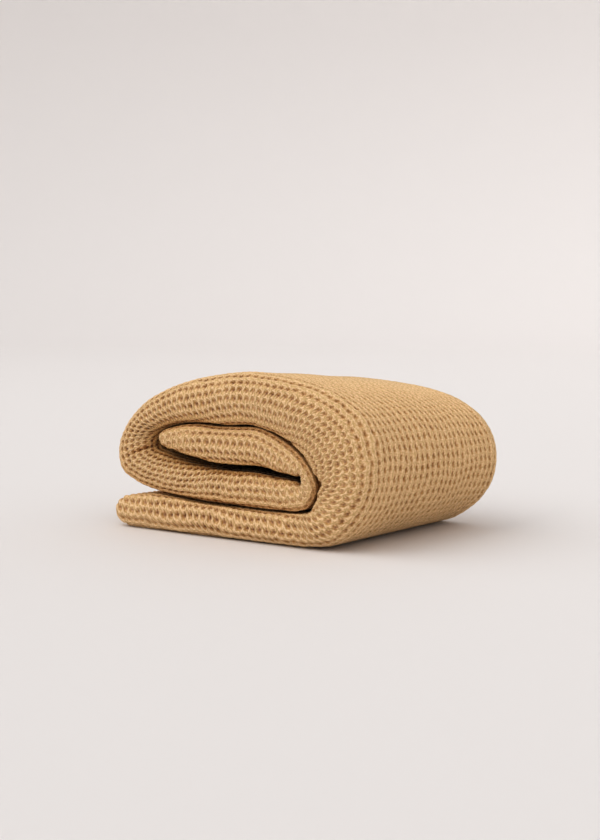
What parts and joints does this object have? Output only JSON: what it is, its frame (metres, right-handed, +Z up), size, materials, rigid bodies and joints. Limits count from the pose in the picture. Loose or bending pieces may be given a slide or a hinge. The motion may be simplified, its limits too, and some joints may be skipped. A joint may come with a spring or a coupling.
{
  "type": "waffle weave cotton blanket",
  "caption": "Thick waffle weave cotton blanket, folded into a long pad and rolled up into a flat oval bundle that lies on its side.",
  "frame": {"origin": "on the surface that the bundle lies on, under the centre of its bounding box", "axes": "+X across the visible end of the roll, from the free fold to the big fold; -Y towards the folded front edge, which is the end the picture shows; +Z up"},
  "size_m": [0.3534, 0.258, 0.176],
  "materials": {
    "cotton": "matte camel cotton in a deep waffle weave"
  },
  "bodies": {
    "root": {"blanket": "cotton"}
  },
  "joints": []
}
